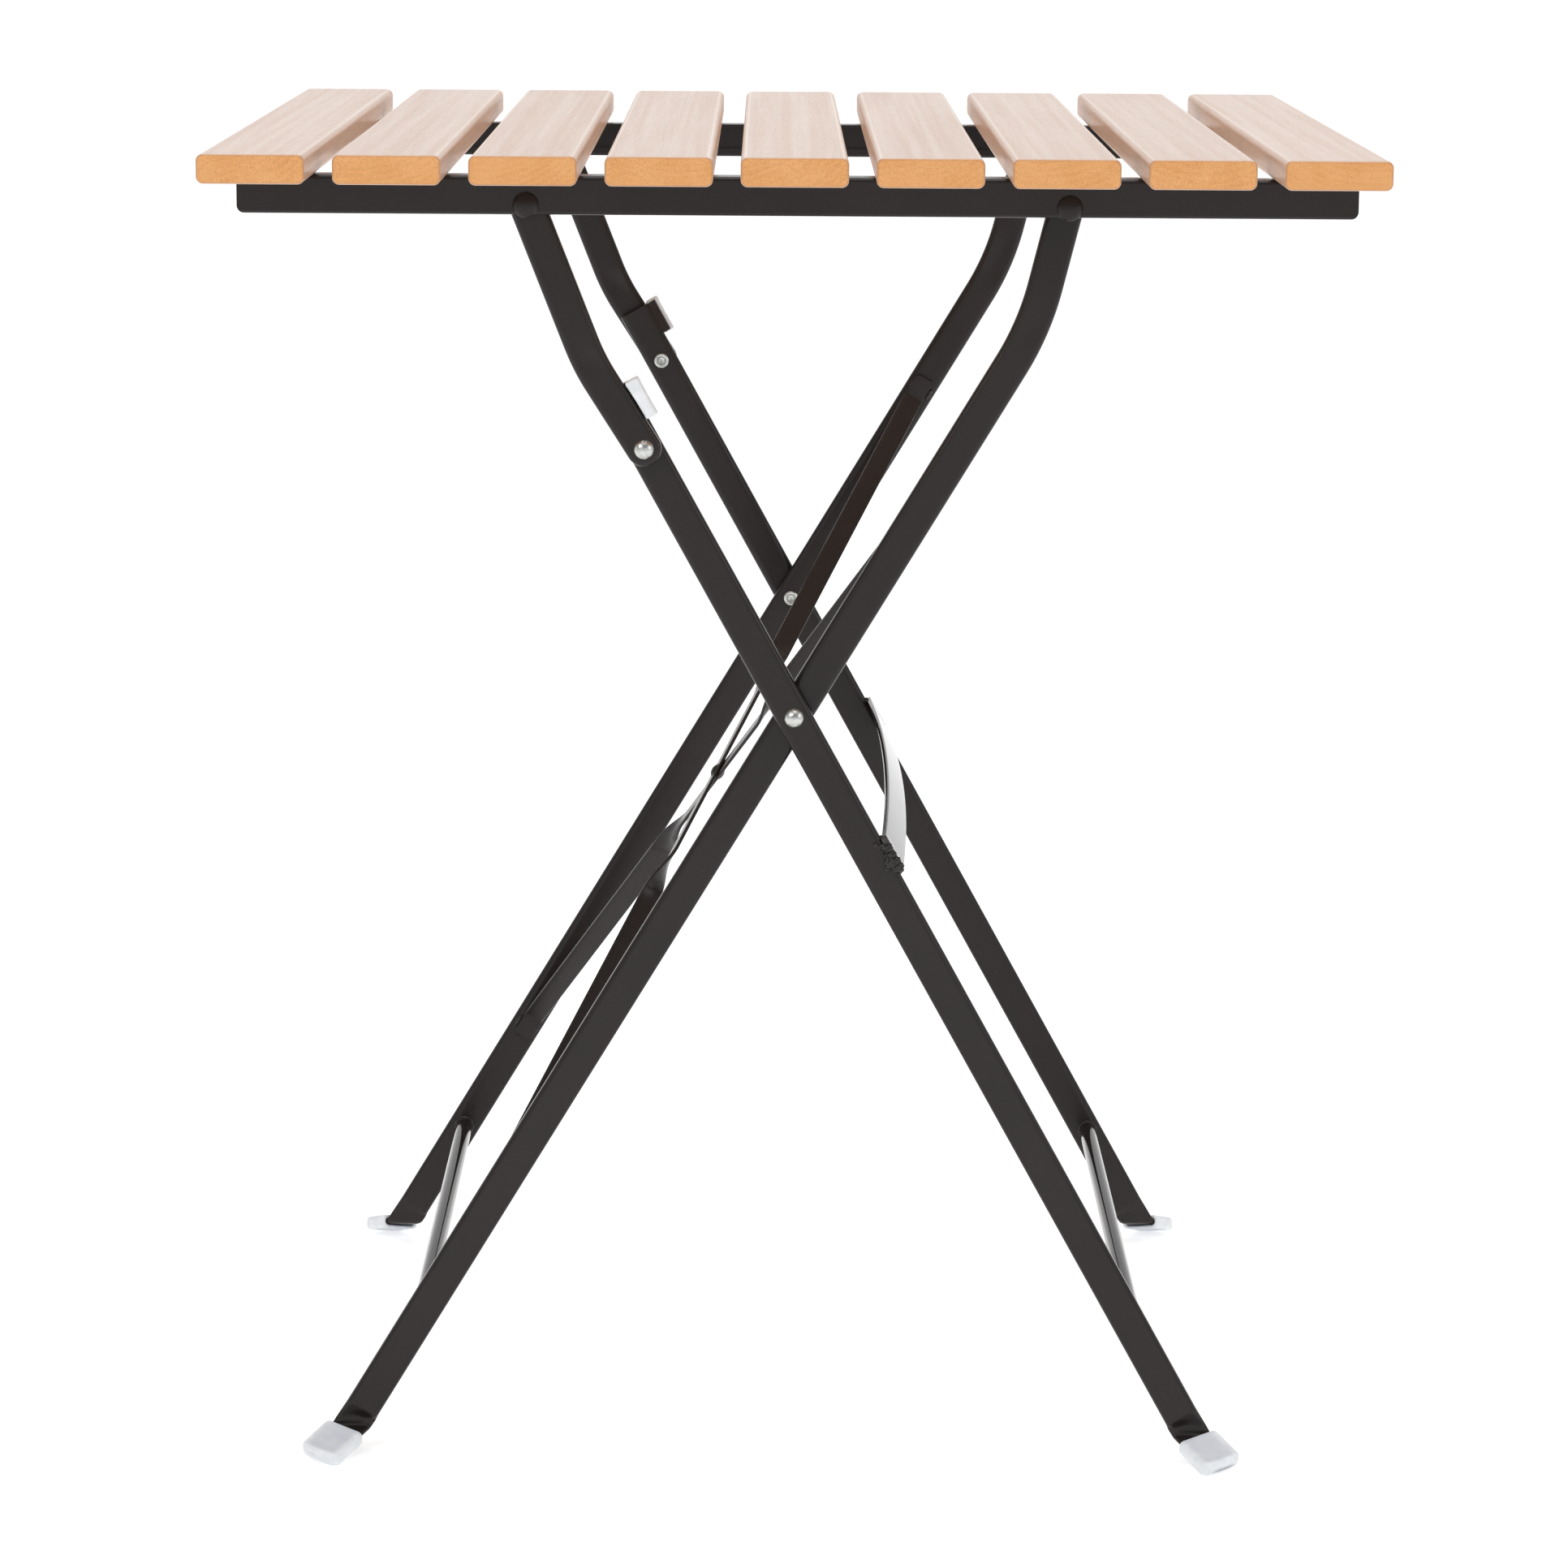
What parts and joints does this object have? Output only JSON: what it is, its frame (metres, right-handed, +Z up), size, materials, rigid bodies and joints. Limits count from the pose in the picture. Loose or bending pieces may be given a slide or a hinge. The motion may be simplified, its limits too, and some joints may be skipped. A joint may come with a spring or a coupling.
{
  "type": "folding table",
  "caption": "Square folding table: wooden slats on two steel rails, crossed flat-tube legs with knee links that lock and fold, cross braces and plastic feet.",
  "frame": {"origin": "on the floor, under the middle of the square top", "axes": "+Z up, +Y along the slats towards the rear, +X across the slats; the front is -Y"},
  "size_m": [0.6, 0.6, 0.71],
  "materials": {
    "slats": "clear varnished hardwood, satin",
    "black_steel": "black powder coat, semi-gloss",
    "zinc": "bright zinc-plated rivets and screws",
    "plastic": "milky translucent polyethylene"
  },
  "bodies": {
    "top": {"slat_1": "slats", "slat_2": "slats", "slat_3": "slats", "slat_4": "slats", "slat_5": "slats", "slat_6": "slats", "slat_7": "slats", "slat_8": "slats", "slat_9": "slats", "front_rail": "black_steel", "rear_rail": "black_steel", "slat_screws": "zinc", "bent_leg_pins": "black_steel", "bent_leg_spacers": "black_steel", "link_rivets": "black_steel", "link_spacers": "black_steel"},
    "links": {"front_link": "black_steel", "rear_link": "black_steel"},
    "straight_legs": {"front_straight_leg": "black_steel", "rear_straight_leg": "black_steel", "front_stop_pad": "plastic", "rear_stop_pad": "plastic", "knee_rivets": "zinc", "knee_washers": "plastic", "centre_rivets": "zinc", "centre_washers": "plastic", "straight_leg_bar": "black_steel", "straight_leg_crossbar": "black_steel", "front_straight_foot": "plastic", "rear_straight_foot": "plastic"},
    "bent_legs": {"front_bent_leg": "black_steel", "rear_bent_leg": "black_steel", "bent_leg_pin_tails": "zinc", "brace_strap_1": "black_steel", "brace_strap_2": "black_steel", "brace_rivet": "black_steel", "bent_leg_crossbar": "black_steel", "front_bent_foot": "plastic", "rear_bent_foot": "plastic"}
  },
  "joints": [
    {"name": "link_fold", "type": "hinge", "parent": "top", "child": "links", "pos_m": [-0.1383, 0, 0.68], "axis": [0, -1, 0], "range_deg": [0, 59.4]},
    {"name": "knee_fold", "type": "hinge", "parent": "links", "child": "straight_legs", "pos_m": [-0.0774, 0, 0.553], "axis": [0, 1, 0], "range_deg": [0, 170]},
    {"name": "scissor", "type": "hinge", "parent": "straight_legs", "child": "bent_legs", "pos_m": [0.002, 0, 0.4095], "axis": [0, -1, 0], "range_deg": [0, 54.9]}
  ],
  "couplings": [
    {"joint": "link_fold", "follows": "knee_fold", "ratio": 0.34911},
    {"joint": "scissor", "follows": "knee_fold", "ratio": 0.32272}
  ]
}
